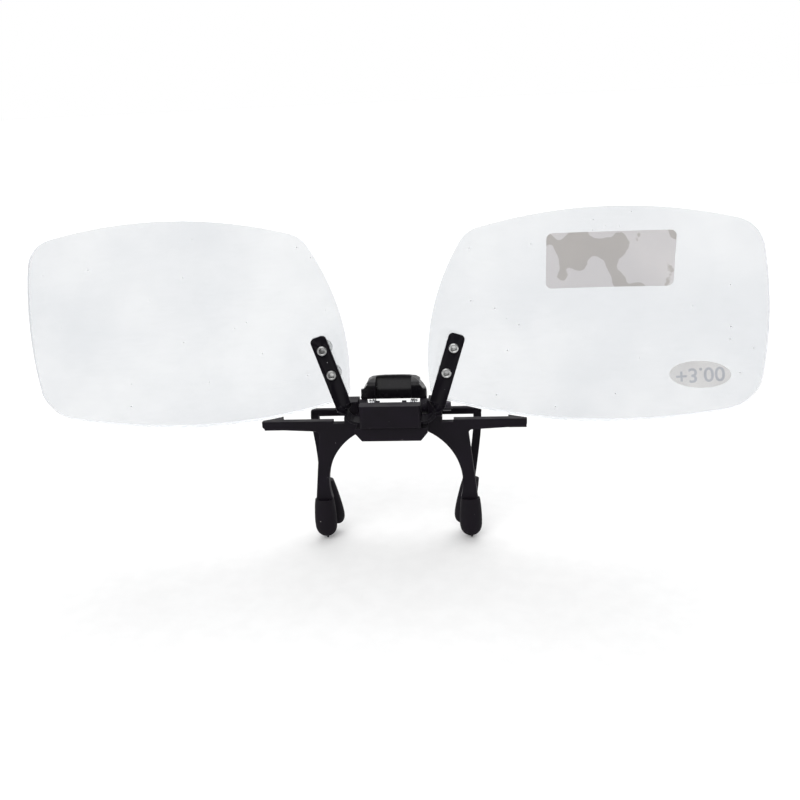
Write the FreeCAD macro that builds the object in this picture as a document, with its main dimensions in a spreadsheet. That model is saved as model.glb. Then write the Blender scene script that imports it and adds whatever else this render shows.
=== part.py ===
import FreeCAD, Part
import os
import re
import Sketcher

# Clip-on flip lenses, in millimetres.
# +X is the wearer's left-right axis, +Y points away from the viewer towards the wearer, +Z is up.
# The origin is the grip point, midway between the closed front and rear sleeves.

doc = FreeCAD.newDocument("clip_on_flip_lenses")
sheet = doc.addObject("Spreadsheet::Sheet", "Sizes")

SIZES = {
    # jaw plate and wings
    "plate_front": -2.5, "plate_thick": 1.6, "wing_half": 27.7, "wing_top": 22.4,
    "wing_end_low": 20.7, "wing_root_low": 20.1, "leg_outer_root": 15.6, "relief_r": 0.8,
    "notch_inner": 10.2, "notch_outer": 12.6, "notch_deep": 0.55,
    "foot_inner": 24.0, "foot_back": 2.2, "foot_low": 19.9, "foot_chamfer": 1.0,
    # front legs
    "arch_shift": 1.38, "arch_level": 8.3, "arch_r": 12.9, "leg_outer_low": 17.35,
    "leg_end_inner": 13.97, "leg_end": 4.6, "tongue_half": 1.15, "tongue_low": -2.2,
    "sleeve_x": 15.75, "sleeve_top": 4.4, "sleeve_low": -4.3,
    "sleeve_half": 2.38, "sleeve_deep": 1.62, "sleeve_fit": 0.03, "grip_gap": 0.3,
    # hub and pivot ears
    "hub_half": 7.45, "hub_low_half": 6.05, "hub_low": 19.5, "hub_front": -7.0, "hub_top": 22.5,
    "hub_chamfer_top": 21.2, "shoulder_top": 23.2, "ear_inner": 7.35, "ear_outer": 10.1,
    "ear_low": 20.6, "ear_top": 26.0, "ear_back": 3.0,
    # pivot
    "pivot_y": 1.05, "pivot_z": 24.2, "pin_r": 0.6, "pin_fit": 0.05,
    "head_r": 1.05, "head_long": 1.9, "side_gap": 0.12,
    # hinge of the lens yoke
    "hinge_y": -5.75, "hinge_z": 23.6, "strip_wide": 3.4, "strip_thick": 0.55, "strip_fit": 0.08,
    "bend_start": 6.6, "bend_r": 2.6, "ear_lean": 17.2, "twist_long": 1.8,
    "plate_wide": 3.3, "ear_long": 16.7, "ear_corner": 0.95,
    # hinge block
    "block_half": 6.2, "block_front": -8.2, "block_back": -3.6, "block_top": 27.4,
    "block_wall": 0.7, "block_slope": 0.9, "block_round": 0.5, "nub_x": 2.75, "nub_r": 0.42,
    "leaf_thick": 0.2, "leaf_wide": 2.9, "leaf_fit": 0.03,
    # rivets, bushes and washers
    "rivet_up": 13.8, "rivet_pitch": 5.35, "rivet_r": 0.72, "rivet_bore": 0.5, "rivet_head_r": 1.03,
    "rivet_head_thick": 0.3, "bush_r": 1.45, "bush_sleeve_r": 1.0, "bush_flange": 0.32,
    "hole_fit": 0.03, "washer_r": 1.6, "washer_thick": 0.4,
    # lenses
    "lens_x": 41.0, "lens_z": 43.6, "lens_mid": 4.0, "front_radius": 120.0, "eye_radius": 312.0,
    "nose_low_x": 8.1, "nose_low_z": 28.7, "nose_up_x": 15.9, "nose_up_z": 61.6,
    "temple_up_x": 70.6, "temple_up_z": 61.4, "temple_low_x": 72.6, "temple_low_z": 25.8,
    "top_bow": 100.3, "temple_bow": 77.0, "bottom_bow": 100.0, "nose_bow": 46.7,
    "nose_low_r": 3.0, "nose_up_r": 5.5, "temple_up_r": 7.5, "temple_low_r": 8.0,
    # rear jaw
    "arm_half": 18.4, "arm_y": 4.3, "arm_z": 22.1, "arm_high": 1.6, "arm_deep": 1.5,
    "rear_leg_x": 17.45, "rear_leg_wide": 1.7, "rear_knee_z": 12.6, "rear_ankle_z": 7.6,
    "rear_ankle_x": 15.9, "rear_tip_x": 14.0, "rear_tip_z": -1.6, "rear_leg_deep": 1.4,
    "rear_sleeve_top": 7.6, "rear_sleeve_low": -3.0, "rear_sleeve_half": 2.1, "rear_sleeve_deep": 1.55,
    "cheek_inner": 5.6, "cheek_r": 1.7, "tongue_high": 3.6, "tongue_thick": 0.9, "lever_fit": 0.03,
    # thumb lever
    "lever_half": 6.95, "lever_top_half": 5.3, "lever_low": 25.3, "lever_top": 30.2,
    "recess_half": 3.75, "lever_y": 1.9,
    # torsion spring
    "coil_x": 3.7, "coil_r": 1.45, "wire_r": 0.2, "coil_pitch": 0.46, "coil_turns": 3,
    "spring_leg": 0.7,
    # labels on the right lens
    "label_thick": 0.1, "label_x": 43.7, "label_z": 54.5, "label_wide": 24.6, "label_high": 11.0,
    "label_round": 1.2, "oval_x": 61.8, "oval_z": 31.2, "oval_long": 5.8, "oval_short": 2.75,
}
for row, (alias, value) in enumerate(SIZES.items(), start=1):
    sheet.set("A%d" % row, alias)
    sheet.set("B%d" % row, "%g" % value)
    sheet.setAlias("B%d" % row, alias)
doc.recompute()


def size(alias):
    """The present value of one named size."""
    return float(getattr(sheet, alias))


def bound(words):
    """Turn words such as '-wing_half + 2' into an expression on the sheet."""
    return re.sub("[a-z][a-z_]*", lambda found: ("Sizes." if found.group() in SIZES else "")
                  + found.group(), words)


def value_of(words):
    """The number that such words stand for now."""
    return float(sheet.evalExpression(bound(words)))


# ---- helpers for sketches, bodies and booleans ------------------------------------------------

def plane_of(body, role):
    for feature in body.Origin.OriginFeatures:
        if feature.Role == role:
            return feature


def sketch_on(body, role, name, level="0"):
    """A sketch on one of the body's own planes, moved to a level along the plane's normal."""
    sketch = body.newObject("Sketcher::SketchObject", name)
    sketch.AttachmentSupport = [(plane_of(body, role), "")]
    sketch.MapMode = "FlatFace"
    sketch.setExpression("AttachmentOffset.Base.z", bound(level))
    return sketch


def pin_point(sketch, geo, end, across, up):
    """Tie one end of a sketch line to expressions for its two coordinates."""
    for kind, words in (("DistanceX", across), ("DistanceY", up)):
        index = sketch.addConstraint(Sketcher.Constraint(kind, -1, 1, geo, end, value_of(words)))
        sketch.setExpression("Constraints[%d]" % index, bound(words))


def outline(sketch, corners):
    """A closed polygon through corners, each a pair of expressions."""
    points = [FreeCAD.Vector(value_of(a), value_of(b), 0) for a, b in corners]
    first = sketch.GeometryCount
    count = len(points)
    for i in range(count):
        sketch.addGeometry(Part.LineSegment(points[i], points[(i + 1) % count]), False)
    for i in range(count):
        after = first + (i + 1) % count
        sketch.addConstraint(Sketcher.Constraint("Coincident", first + i, 2, after, 1))
    for i, (across, up) in enumerate(corners):
        pin_point(sketch, first + i, 1, across, up)


def circle(sketch, across, up, radius):
    centre = FreeCAD.Vector(value_of(across), value_of(up), 0)
    geo = sketch.addGeometry(Part.Circle(centre, FreeCAD.Vector(0, 0, 1), value_of(radius)), False)
    pin_point(sketch, geo, 3, across, up)
    index = sketch.addConstraint(Sketcher.Constraint("Radius", geo, value_of(radius)))
    sketch.setExpression("Constraints[%d]" % index, bound(radius))


def rectangle(sketch, left, right, low, high):
    outline(sketch, [(left, low), (right, low), (right, high), (left, high)])


def pad(body, sketch, name, length, reverse=False, both=False):
    feature = body.newObject("PartDesign::Pad", name)
    feature.Profile = sketch
    feature.setExpression("Length", bound(length))
    feature.Reversed = reverse
    feature.Midplane = both
    return feature


def pocket(body, sketch, name, length, reverse=False, both=False):
    """A pocket, checked to have cut something."""
    doc.recompute()
    before = body.Shape.Volume
    feature = body.newObject("PartDesign::Pocket", name)
    feature.Profile = sketch
    feature.setExpression("Length", bound(length))
    feature.Reversed = reverse
    feature.Midplane = both
    doc.recompute()
    if body.Shape.Volume > before - 1e-4:
        raise RuntimeError(name + " cuts nothing")
    return feature


def round_edges(body, name, radius, wanted):
    """Fillet the edges of the body's tip that the test wanted(midpoint, edge) picks."""
    doc.recompute()
    tip = body.Tip
    names = []
    for number, edge in enumerate(tip.Shape.Edges, start=1):
        middle = edge.valueAt((edge.FirstParameter + edge.LastParameter) / 2)
        if wanted(middle, edge):
            names.append("Edge%d" % number)
    if not names:
        raise RuntimeError(name + " picks no edge")
    feature = body.newObject("PartDesign::Fillet", name)
    feature.Base = (tip, names)
    feature.setExpression("Radius", bound(radius))
    doc.recompute()
    return feature


def along(edge, axis):
    """True for a straight edge along the axis given as 0, 1 or 2."""
    if len(edge.Vertexes) < 2:
        return False
    step = edge.Vertexes[1].Point - edge.Vertexes[0].Point
    return abs(abs(step[axis]) - edge.Length) < 1e-6


def make_body(label):
    body = doc.addObject("PartDesign::Body", label)
    body.Label = label
    return body


def place(item, across="0", away="0", up="0"):
    for axis, words in (("x", across), ("y", away), ("z", up)):
        item.setExpression("Placement.Base." + axis, bound(words))
    return item


def cylinder(name, radius, length, across, away, up, axis):
    """A Part cylinder whose base centre is at three expressions, along X or Y."""
    item = doc.addObject("Part::Cylinder", name)
    item.setExpression("Radius", bound(radius))
    item.setExpression("Height", bound(length))
    turned = {"x": ((0, 1, 0), 90), "y": ((1, 0, 0), -90)}[axis]
    item.Placement.Rotation = FreeCAD.Rotation(FreeCAD.Vector(*turned[0]), turned[1])
    return place(item, across, away, up)


def box(name, low, high):
    """A Part box between two corners, each three expressions."""
    item = doc.addObject("Part::Box", name)
    for side, start, end in zip(("Length", "Width", "Height"), low, high):
        item.setExpression(side, bound("( " + end + " ) - ( " + start + " )"))
    return place(item, *low)


def joined(name, parts):
    item = doc.addObject("Part::MultiFuse", name)
    item.Shapes = parts
    return item


def cut(name, base, tool):
    item = doc.addObject("Part::Cut", name)
    item.Base = base
    item.Tool = tool
    return item


def common(name, base, tool):
    item = doc.addObject("Part::Common", name)
    item.Base = base
    item.Tool = tool
    return item


def group(label, items):
    item = doc.addObject("Part::Compound", label)
    item.Links = items
    item.Label = label
    return item


def signed(side, words):
    """The same distance on the right (side 1) or the left (side -1)."""
    return words if side > 0 else "-1 * ( " + words + " )"


SIDES = (("left", -1), ("right", 1))


# ---- front jaw ---------------------------------------------------------------------------------

def front_jaw():
    body = make_body("front_jaw")
    back = "-1 * ( plate_front + plate_thick )"

    # Both wings and both legs in one plate. The sketch's normal points to the front.
    plate = sketch_on(body, "XZ_Plane", "PlateOutline", back)
    half = [
        ("leg_end_inner", "leg_end"), ("leg_outer_low", "leg_end"),
        ("leg_outer_root", "wing_root_low"), ("wing_half - 0.5", "wing_end_low"),
        ("wing_half", "wing_end_low + 0.5"), ("wing_half", "wing_top"),
        ("notch_outer", "wing_top"), ("notch_outer", "wing_top - notch_deep"),
        ("notch_inner", "wing_top - notch_deep"), ("notch_inner", "shoulder_top"),
    ]
    other = [("-1 * ( " + a + " )", b) for a, b in reversed(half)]
    outline(plate, half + other)
    pad(body, plate, "Plate", "plate_thick")

    # The inner sides of the legs are two arcs that meet above the nose.
    for name, side in SIDES:
        arch = sketch_on(body, "XZ_Plane", "Arch_" + name, back)
        circle(arch, signed(side, "arch_shift"), "arch_level", "arch_r")
        pocket(body, arch, "ArchCut_" + name, "plate_thick", reverse=True)

    # Tongues inside the rubber sleeves.
    for name, side in SIDES:
        tongue = sketch_on(body, "XZ_Plane", "Tongue_" + name, back)
        middle = signed(side, "sleeve_x")
        rectangle(tongue, middle + " - tongue_half", middle + " + tongue_half",
                  "tongue_low", "leg_end + 0.6")
        pad(body, tongue, "TonguePad_" + name, "plate_thick")

    hub = sketch_on(body, "XZ_Plane", "HubOutline", back)
    outline(hub, [
        ("-hub_low_half", "hub_low"), ("hub_low_half", "hub_low"),
        ("hub_half", "hub_chamfer_top"), ("hub_half", "hub_top"),
        ("-hub_half", "hub_top"), ("-hub_half", "hub_chamfer_top"),
    ])
    pad(body, hub, "Hub", "plate_front + plate_thick - hub_front")

    for name, side in SIDES:
        inner = signed(side, "ear_inner")
        outer = signed(side, "ear_outer")
        ear = sketch_on(body, "YZ_Plane", "EarSide_" + name, inner)
        front = "plate_front + plate_thick - 0.4"
        outline(ear, [
            (front, "ear_low"), ("ear_back", "ear_low"), ("ear_back", "ear_top"),
            ("plate_front + plate_thick", "ear_top"), ("plate_front + plate_thick", "shoulder_top"),
            (front, "shoulder_top"),
        ])
        pad(body, ear, "Ear_" + name, "ear_outer - ear_inner", reverse=side < 0)

    # Feet at the wing ends that sit on the spectacle rim.
    for name, side in SIDES:
        foot = sketch_on(body, "XZ_Plane", "Foot_" + name, "-1 * foot_back")
        a, b = signed(side, "foot_inner"), signed(side, "wing_half")
        rectangle(foot, a, b, "foot_low", "wing_top")
        pad(body, foot, "FootPad_" + name, "foot_back - plate_front - plate_thick")
        corner = sketch_on(body, "XY_Plane", "FootCorner_" + name, "foot_low")
        outline(corner, [
            (signed(side, "wing_half - foot_chamfer"), "foot_back + 0.1"),
            (signed(side, "wing_half + 0.1"), "foot_back + 0.1"),
            (signed(side, "wing_half + 0.1"), "foot_back - 1.8 * foot_chamfer"),
        ])
        pocket(body, corner, "FootCut_" + name, "2 * wing_top", both=True)

    # Half-round channel for the turning strip, and the pin's holes.
    channel = sketch_on(body, "YZ_Plane", "ChannelEnd")
    circle(channel, "hinge_y", "hinge_z", "strip_wide / 2 + strip_thick / 8 + strip_fit")
    pocket(body, channel, "Channel", "2 * hub_half + 4", both=True)
    bore = sketch_on(body, "YZ_Plane", "PinHoleEnd")
    circle(bore, "pivot_y", "pivot_z", "pin_r + pin_fit")
    pocket(body, bore, "PinHole", "2 * ear_outer + 4", both=True)

    round_edges(body, "WingRelief", "relief_r", lambda p, e: along(e, 1)
                and abs(abs(p.x) - size("leg_outer_root")) < 0.01
                and abs(p.z - size("wing_root_low")) < 0.01)
    return body


# ---- rubber sleeves ----------------------------------------------------------------------------

def ellipse(name, half_wide, half_deep, across, away, up):
    """A level ellipse, wide along X and deep along Y."""
    item = doc.addObject("Part::Ellipse", name)
    item.setExpression("MajorRadius", bound(half_wide))
    item.setExpression("MinorRadius", bound(half_deep))
    return place(item, across, away, up)


def section(name, half_wide, half_deep, across, away, up):
    """A level rectangle, centred at three expressions."""
    sketch = doc.addObject("Sketcher::SketchObject", name)
    rectangle(sketch, "-1 * ( " + half_wide + " )", half_wide, "-1 * ( " + half_deep + " )", half_deep)
    return place(sketch, across, away, up)


def loft(name, sections, ruled=False):
    item = doc.addObject("Part::Loft", name)
    item.Sections = sections
    item.Solid = True
    item.Ruled = ruled
    return item


# Height below the sleeve's top as a share of its length, then width and depth as shares of the fullest.
BARREL = ((0.0, 0.84, 0.96), (0.2, 0.94, 1.0), (0.45, 1.0, 1.0), (0.72, 0.99, 0.98),
          (0.88, 0.83, 0.84), (0.96, 0.57, 0.6), (1.0, 0.3, 0.34))


def front_sleeve(name, side):
    label = "front_" + name + "_sleeve"
    middle = signed(side, "sleeve_x")
    away = "-1 * ( grip_gap / 2 + sleeve_deep )"
    rings = []
    for i, (down, wide, deep) in enumerate(BARREL):
        level = "sleeve_top - %g * ( sleeve_top - sleeve_low )" % down
        rings.append(ellipse("%s_ring_%d" % (label, i), "sleeve_half * %g" % wide,
                             "sleeve_deep * %g" % deep, middle, away, level))
    barrel = loft(label + "_barrel", rings)
    nib = doc.addObject("Part::Cone", label + "_nib")
    nib.Radius1 = 0.15
    nib.Radius2 = 0.45
    nib.Height = 1.0
    place(nib, middle + " + 0.15", away, "sleeve_low - 0.5")
    room = box(label + "_room",
               (middle + " - tongue_half - sleeve_fit", "plate_front - sleeve_fit",
                "tongue_low - sleeve_fit"),
               (middle + " + tongue_half + sleeve_fit", "plate_front + plate_thick + sleeve_fit",
                "sleeve_top + 1"))
    item = cut(label, joined(label + "_outside", [barrel, nib]), room)
    item.Label = label
    return item


def rear_line(side, level):
    """Where the leaning rear leg's centre is at a height."""
    slope = "( rear_ankle_x - rear_tip_x ) / ( rear_ankle_z - rear_tip_z )"
    return signed(side, "rear_tip_x + ( " + level + " - rear_tip_z ) * " + slope)


REAR_AWAY = "grip_gap / 2 + rear_sleeve_deep"


def rear_tongue(name, side, extra):
    """The straight lower end of a rear leg, grown by a clearance."""
    half_wide = "rear_leg_wide / 2 - 0.1 + " + extra
    half_deep = "rear_leg_deep / 2 - 0.05 + " + extra
    top = "rear_ankle_z + 0.5" if extra == "0" else "rear_sleeve_top + 1"
    low = "rear_tip_z" if extra == "0" else "rear_tip_z - " + extra
    return loft(name, [
        section(name + "_low", half_wide, half_deep, rear_line(side, low), REAR_AWAY, low),
        section(name + "_top", half_wide, half_deep, rear_line(side, top), REAR_AWAY, top),
    ], ruled=True)


def rear_sleeve(name, side):
    label = "rear_" + name + "_sleeve"
    rings = []
    for i, (down, wide, deep) in enumerate(BARREL):
        level = "rear_sleeve_top - 0.2 - %g * ( rear_sleeve_top - 0.2 - rear_sleeve_low )" % down
        rings.append(ellipse("%s_ring_%d" % (label, i), "rear_sleeve_half * %g" % wide,
                             "rear_sleeve_deep * %g" % deep,
                             rear_line(side, "( " + level + " )"), REAR_AWAY, level))
    item = cut(label, loft(label + "_barrel", rings), rear_tongue(label + "_room", side, "sleeve_fit"))
    item.Label = label
    return item


# ---- rear jaw, thumb lever, pin and spring ------------------------------------------------------

def rear_jaw():
    label = "rear_jaw"
    bar = make_body("rear_bar")
    side_view = sketch_on(bar, "YZ_Plane", "BarEnd")
    rectangle(side_view, "arm_y - arm_deep / 2", "arm_y + arm_deep / 2",
              "arm_z - arm_high / 2", "arm_z + arm_high / 2")
    pad(bar, side_view, "Bar", "2 * arm_half", both=True)
    round_edges(bar, "BarEnds", "arm_high / 2 - 0.15", lambda p, e: along(e, 1)
                and abs(abs(p.x) - size("arm_half")) < 0.01)
    round_edges(bar, "BarSides", "0.28 * arm_deep", lambda p, e: along(e, 0))
    parts = [bar]
    for name, side in SIDES:
        stops = (("arm_z + 0.3", "rear_leg_x", "arm_y"),
                 ("arm_z - 3", "rear_leg_x", "arm_y"),
                 ("rear_knee_z", "rear_leg_x - 0.7", "arm_y - 0.25"),
                 ("rear_ankle_z + 2", "rear_ankle_x + 0.35", REAR_AWAY + " + 0.7"),
                 ("rear_ankle_z", "rear_ankle_x", REAR_AWAY))
        sections = [section("RearLeg_%s_%d" % (name, i), "rear_leg_wide / 2", "rear_leg_deep / 2",
                            signed(side, x), y, z) for i, (z, x, y) in enumerate(stops)]
        parts.append(loft("RearLeg_" + name, sections))
        parts.append(rear_tongue("RearTongue_" + name, side, "0"))

        cheek = make_body("Cheek_" + name)
        level = signed(side, "cheek_inner")
        web = sketch_on(cheek, "YZ_Plane", "CheekWeb_" + name, level)
        outline(web, [
            ("pivot_y - 0.6 * cheek_r", "pivot_z - 0.75 * cheek_r"),
            ("arm_y - arm_deep / 2", "arm_z - arm_high / 2"),
            ("arm_y + 0.2", "arm_z"),
            ("arm_y - 0.2", "arm_z + arm_high / 2 + 0.5"),
            ("pivot_y + 0.7 * cheek_r", "pivot_z + 0.6 * cheek_r"),
        ])
        width = "ear_inner - side_gap - cheek_inner"
        pad(cheek, web, "WebPad_" + name, width, reverse=side < 0)
        ring = sketch_on(cheek, "YZ_Plane", "CheekRing_" + name, level)
        circle(ring, "pivot_y", "pivot_z", "cheek_r")
        pad(cheek, ring, "RingPad_" + name, width, reverse=side < 0)
        hole = sketch_on(cheek, "YZ_Plane", "CheekHole_" + name)
        circle(hole, "pivot_y", "pivot_z", "pin_r + pin_fit")
        pocket(cheek, hole, "CheekBore_" + name, "2 * ear_outer", both=True)
        parts.append(cheek)
        parts.append(lever_tongue("LeverTongue_" + name, side, "0"))
    item = joined(label, parts)
    item.Label = label
    return item


def lever_tongue(name, side, extra):
    """The upright tongue that carries one cheek of the thumb lever, grown by a clearance."""
    middle = signed(side, "( cheek_inner + ear_inner - side_gap ) / 2")
    half = "( tongue_thick / 2 + " + extra + " )"
    foot = "pivot_z + 1.2" if extra == "0" else "pivot_z + 1.4"
    return box(name,
               (middle + " - " + half, "pivot_y + 0.75 - " + extra, foot),
               (middle + " + " + half, "pivot_y + 1.65 + " + extra, "pivot_z + tongue_high + " + extra))


def thumb_lever():
    body = make_body("lever_shell")
    side_view = sketch_on(body, "YZ_Plane", "LeverSide")
    sole = "pivot_z + cheek_r + 0.1"
    outline(side_view, [
        ("lever_y - 0.4", sole), ("lever_y + 0.9", sole), ("lever_y + 1.1", "lever_low"),
        ("lever_y + 2.4", "lever_low"), ("lever_y + 3.2", "lever_low + 1.5"),
        ("lever_y + 3.8", "lever_top - 0.7"), ("lever_y + 3.0", "lever_top"),
        ("lever_y + 1.9", "lever_top - 0.1"), ("lever_y + 0.1", "lever_top - 0.9"),
        ("lever_y - 0.3", "lever_top - 1.5"),
    ])
    pad(body, side_view, "LeverBlock", "2 * lever_half", both=True)
    round_edges(body, "TopRound", "0.4", lambda p, e: along(e, 0) and p.z > size("lever_top") - 1.5)
    hollow = sketch_on(body, "YZ_Plane", "HollowSide")
    outline(hollow, [
        ("lever_y - 3", "lever_low - 1"), ("lever_y + 1.15", "lever_low - 1"),
        ("lever_y + 1.3", "lever_top - 3.2"), ("lever_y + 1.65", "lever_top - 2.3"),
        ("lever_y + 2.2", "lever_top - 1.3"), ("lever_y + 2.45", "lever_top - 0.6"),
        ("lever_y + 2.5", "lever_top + 1"), ("lever_y - 3", "lever_top + 1"),
    ])
    pocket(body, hollow, "Hollow", "2 * recess_half", both=True)
    for name, side in SIDES:
        slope = sketch_on(body, "XZ_Plane", "Slope_" + name)
        outline(slope, [
            (signed(side, "lever_half + 0.01"), "lever_low + 0.9"),
            (signed(side, "lever_half - 0.2"), "lever_low + 1.8"),
            (signed(side, "lever_half - 0.75"), "lever_low + 2.8"),
            (signed(side, "lever_top_half + 0.15"), "lever_top - 1.25"),
            (signed(side, "lever_top_half + 0.3"), "lever_top - 1.1"),
            (signed(side, "lever_top_half + 0.15"), "lever_top - 0.8"),
            (signed(side, "lever_top_half - 0.6"), "lever_top - 0.42"),
            (signed(side, "lever_top_half - 2"), "lever_top - 0.15"),
            (signed(side, "lever_top_half - 4"), "lever_top + 0.02"),
            (signed(side, "lever_top_half - 4"), "lever_top + 1"),
            (signed(side, "lever_half + 1"), "lever_top + 1"),
            (signed(side, "lever_half + 1"), "lever_low + 0.9"),
        ])
        pocket(body, slope, "SlopeCut_" + name, "2 * lever_half", both=True)
    thumb = sketch_on(body, "YZ_Plane", "ThumbDish")
    circle(thumb, "lever_y + 11.1", "lever_low + 2.2", "8")
    pocket(body, thumb, "Dish", "2 * lever_half + 2", both=True)
    slots = joined("LeverSlots", [lever_tongue("Slot_" + name, side, "lever_fit")
                                  for name, side in SIDES])
    item = cut("thumb_lever", body, slots)
    item.Label = "thumb_lever"
    return item


def pivot():
    shaft = cylinder("PinShaft", "pin_r", "2 * ear_outer + head_long + 0.1",
                     "-1 * ( ear_outer + head_long )", "pivot_y", "pivot_z", "x")
    head = cylinder("PinHead", "head_r", "head_long",
                    "ear_outer + 0.05", "pivot_y", "pivot_z", "x")
    item = joined("pivot_pin", [shaft, head])
    item.Label = "pivot_pin"
    ring = cylinder("CapOutside", "head_r", "head_long",
                    "-1 * ( ear_outer + 0.05 + head_long )", "pivot_y", "pivot_z", "x")
    hole = cylinder("CapHole", "pin_r + 0.02", "head_long + 1",
                    "-1 * ( ear_outer + 0.3 + head_long )", "pivot_y", "pivot_z", "x")
    cap = cut("pin_cap", ring, hole)
    cap.Label = "pin_cap"


def shape_piece(label, shape):
    """A piece whose shape is computed from the sizes in the sheet."""
    item = doc.addObject("Part::Feature", label)
    item.Shape = shape
    item.Placement = FreeCAD.Placement()
    item.Label = label
    return item


def torsion_spring():
    """Turns round the pin on each side, joined by a bar in front of it, each ending in a short side leg."""
    radius, wire, pitch = size("coil_r"), size("wire_r"), size("coil_pitch")
    turns = int(size("coil_turns"))
    across = FreeCAD.Vector(1, 0, 0)
    first = FreeCAD.Vector(size("coil_x"), size("pivot_y"), size("pivot_z"))
    last = first.x + pitch * (turns - 1)
    link = 0.9 * wire
    parts = [Part.makeCylinder(link, 2 * last, FreeCAD.Vector(-last, first.y - radius, first.z), across)]
    for side in (-1, 1):
        for turn in range(turns):
            middle = FreeCAD.Vector(side * (first.x + pitch * turn), first.y, first.z)
            parts.append(Part.makeTorus(radius, wire, middle, across))
        foot = FreeCAD.Vector(side * last, first.y, first.z + radius)
        parts.append(Part.makeCylinder(link, size("spring_leg"), foot, across * side))
    return shape_piece("torsion_spring", parts[0].fuse(parts[1:]))


# ---- lens yoke ---------------------------------------------------------------------------------

BASE_X = "( bend_start + bend_r * cos( ear_lean ) )"
BASE_Z = "( hinge_z + bend_r * ( 1 - sin( ear_lean ) ) )"


def on_ear(distance):
    """X and Z of a point on the right ear's centreline, this far from the end of the bend."""
    return (BASE_X + " + sin( ear_lean ) * ( " + distance + " )",
            BASE_Z + " + cos( ear_lean ) * ( " + distance + " )")


def strip_end(centre, lean, turn):
    """The strip's rectangular section, square to a line that leans outward, turned about it."""
    half_wide, half_thick = size("strip_wide") / 2, size("strip_thick") / 2
    corners = []
    for u, v in ((-1, -1), (1, -1), (1, 1), (-1, 1)):
        corners.append(FreeCAD.Vector(u * half_thick, v * half_wide, 0))
    corners.append(corners[0])
    wire = Part.makePolygon(corners)
    wire.rotate(FreeCAD.Vector(), FreeCAD.Vector(0, 0, 1), turn)
    wire.rotate(FreeCAD.Vector(), FreeCAD.Vector(0, 1, 0), lean)
    wire.translate(centre)
    return wire


def lens_yoke():
    """One stamping: flat bar, bend, quarter twist and a flat ear with a round tip at each end."""
    thick, wide, lean = size("strip_thick"), size("strip_wide"), size("ear_lean")
    hinge = FreeCAD.Vector(0, size("hinge_y"), size("hinge_z"))
    start, radius = size("bend_start"), size("bend_r")
    bar = Part.makeBox(2 * start, wide, thick,
                       FreeCAD.Vector(-start, hinge.y - wide / 2, hinge.z - thick / 2))
    face = Part.Face(Part.makePolygon([
        FreeCAD.Vector(start, hinge.y + a * wide / 2, hinge.z + b * thick / 2)
        for a, b in ((-1, -1), (1, -1), (1, 1), (-1, 1), (-1, -1))]))
    bend = face.revolve(FreeCAD.Vector(start, 0, hinge.z + radius), FreeCAD.Vector(0, -1, 0), 90 - lean)
    base = FreeCAD.Vector(value_of(BASE_X), hinge.y, value_of(BASE_Z))
    way = FreeCAD.Rotation(FreeCAD.Vector(0, 1, 0), lean).multVec(FreeCAD.Vector(0, 0, 1))
    steps, long = 12, size("twist_long")
    ends = [strip_end(base + way * (long * i / steps), lean, 90.0 * i / steps)
            for i in range(steps + 1)]
    twist = Part.makeLoft(ends, True, True)

    # The ear is drawn upright at the origin, then leaned and moved to the end of the twist.
    plate, flat = size("plate_wide"), size("ear_long") - long
    ear = Part.makeBox(plate, thick, flat, FreeCAD.Vector(-plate / 2, -thick / 2, 0))
    corners = [e for e in ear.Edges if along(e, 1) and e.Vertexes[0].Z > flat / 2]
    ear = ear.makeFillet(size("ear_corner"), corners)
    for share in (size("rivet_up"), size("rivet_up") - size("rivet_pitch")):
        hole = Part.makeCylinder(size("rivet_r") + size("hole_fit"), 4 * thick,
                                 FreeCAD.Vector(0, -2 * thick, share - long), FreeCAD.Vector(0, 1, 0))
        ear = ear.cut(hole)
    ear.rotate(FreeCAD.Vector(), FreeCAD.Vector(0, 1, 0), lean)
    ear.translate(base + way * long)
    half = bend.fuse([twist, ear])
    other = half.mirror(FreeCAD.Vector(), FreeCAD.Vector(1, 0, 0))
    whole = bar.fuse([half, other]).removeSplitter()
    return shape_piece("lens_yoke", whole)


# ---- rivets, bushes and washers -----------------------------------------------------------------

RIVETS = ("rivet_up", "rivet_up - rivet_pitch")
EAR_BACK = "hinge_y + strip_thick / 2"
EAR_FRONT = "hinge_y - strip_thick / 2"


def from_lens_centre(distance):
    """How far a rivet's axis is from the lens centre."""
    x, z = on_ear(distance)
    return "sqrt( ( lens_x - ( " + x + " ) ) ^ 2 + ( lens_z - ( " + z + " ) ) ^ 2 )"


def sag(distance, radius):
    """How far a sphere's surface falls back at a distance from its vertex."""
    return "( " + radius + " - sqrt( " + radius + " ^ 2 - ( " + distance + " ) ^ 2 ) )"


# The eye side just clears the flange of the bush that lies furthest from the lens centre.
EYE_VERTEX = (EAR_BACK + " + bush_flange + hole_fit + "
              + sag(from_lens_centre(RIVETS[1]) + " + bush_r", "eye_radius"))
FRONT_VERTEX = EYE_VERTEX + " + lens_mid"


def lens_far_side(distance):
    """Where the lens's far surface is nearest to the wearer, round one rivet hole."""
    return FRONT_VERTEX + " - " + sag(from_lens_centre(distance) + " - washer_r", "front_radius")


def tube(name, outer, inner, x, z, start, end):
    long = "( " + end + " ) - ( " + start + " )"
    return cut(name, cylinder(name + "_out", outer, long, x, start, z, "y"),
               cylinder(name + "_in", inner, long + " + 2", x, start + " - 1", z, "y"))


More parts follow.
